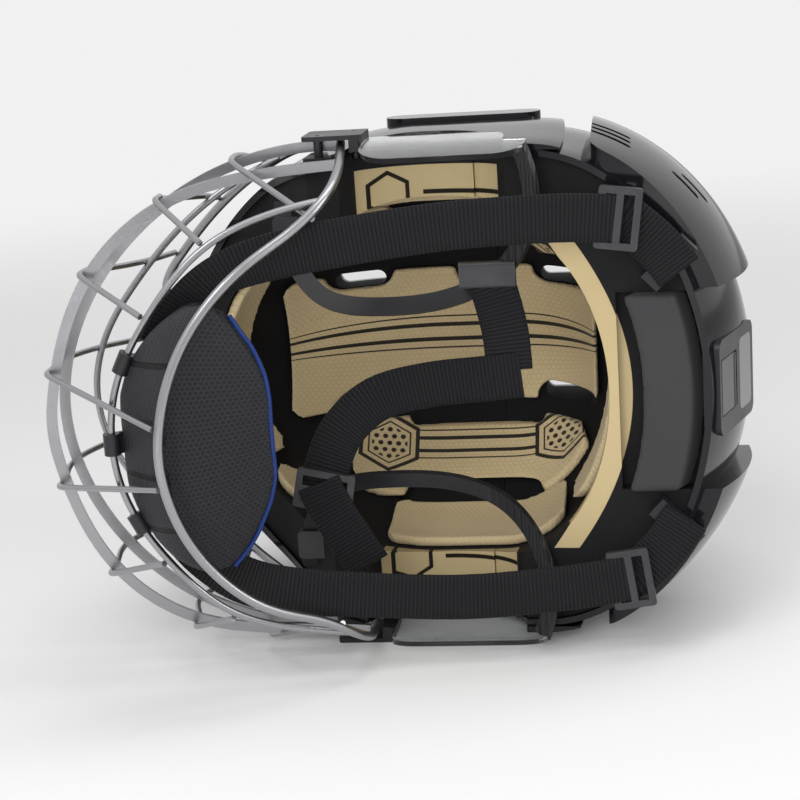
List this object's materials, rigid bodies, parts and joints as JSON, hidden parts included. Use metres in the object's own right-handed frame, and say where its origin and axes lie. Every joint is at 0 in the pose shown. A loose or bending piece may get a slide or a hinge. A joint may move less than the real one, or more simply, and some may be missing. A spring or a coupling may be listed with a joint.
{
  "type": "ice hockey helmet",
  "caption": "Two-part hockey helmet shell with foam liner, clear ear guards, size lever and a flip-up wire cage with a chin cup and webbing straps.",
  "frame": {"origin": "middle of the helmet's outline seen from above, on the floor it lies on", "axes": "The helmet lies on its right side. +X runs from face to nape, +Y from the chin to the crown, and +Z from the wearer's right to left."},
  "size_m": [0.303, 0.2496, 0.2284],
  "materials": {
    "shell": "gloss black, injection moulded",
    "foam": "black light bead foam with a fine grain",
    "pad": "soft tan foam with printed lines",
    "nape": "dark grey smooth soft foam",
    "clear": "clear moulded sheet",
    "loop": "black half-gloss soft plastic",
    "clip": "black moulded, slight grain",
    "hardware": "black steel screws",
    "slider": "dark grey moulded plastic",
    "webbing": "black ribbed woven webbing",
    "badge": "plain blank inlay",
    "steel": "polished wire",
    "cup": "black spacer mesh, moulded"
  },
  "bodies": {
    "helmet_front": {"front_shell": "shell", "front_foam": "foam", "crown_pad": "pad", "brow_pad": "pad", "left_side_pad": "pad", "right_side_pad": "pad", "left_temple_pad": "pad", "right_temple_pad": "pad", "left_ear_pad": "pad", "right_ear_pad": "pad", "left_ear_guard": "clear", "right_ear_guard": "clear", "left_ear_loop": "loop", "right_ear_loop": "loop", "left_loop_clasp": "slider", "right_loop_clasp": "slider", "left_cage_clip": "clip", "right_cage_clip": "clip", "clip_screws": "hardware", "left_brow_clip": "clip", "right_brow_clip": "clip", "brow_screws": "hardware", "shell_screws": "hardware", "chin_strap": "webbing", "chin_slider": "slider", "chin_keeper": "slider"},
    "helmet_rear": {"rear_shell": "shell", "rear_foam": "foam", "occipital_pad": "pad", "nape_pad": "nape", "lever_housing": "clip", "badge_panel": "badge", "lever_pin": "hardware", "left_strap_anchor": "slider", "right_strap_anchor": "slider"},
    "lever": {"size_lever": "clip"},
    "cage": {"brow_wire": "steel", "eye_bar": "steel", "nose_bar": "steel", "mouth_bar": "steel", "cup_bar": "steel", "chin_ring": "steel", "cage_wires": "steel", "chin_cup": "cup", "cup_loops": "loop", "left_cage_strap": "webbing", "right_cage_strap": "webbing", "left_strap_slider": "slider", "right_strap_slider": "slider", "left_anchor_strap": "webbing", "right_anchor_strap": "webbing"}
  },
  "joints": [
    {"name": "size_slide", "type": "slide", "parent": "helmet_front", "child": "helmet_rear", "axis": [1, 0, 0], "range_m": [0, 0.012]},
    {"name": "lever_turn", "type": "hinge", "parent": "helmet_rear", "child": "lever", "pos_m": [0.14091, -0.0167, 0.1142], "axis": [0, 0, 1], "range_deg": [0, 95]},
    {"name": "cage_swing", "type": "hinge", "parent": "helmet_front", "child": "cage", "pos_m": [-0.1161, 0.02416, 0.1142], "axis": [0, 0, -1], "range_deg": [0, 100]}
  ]
}
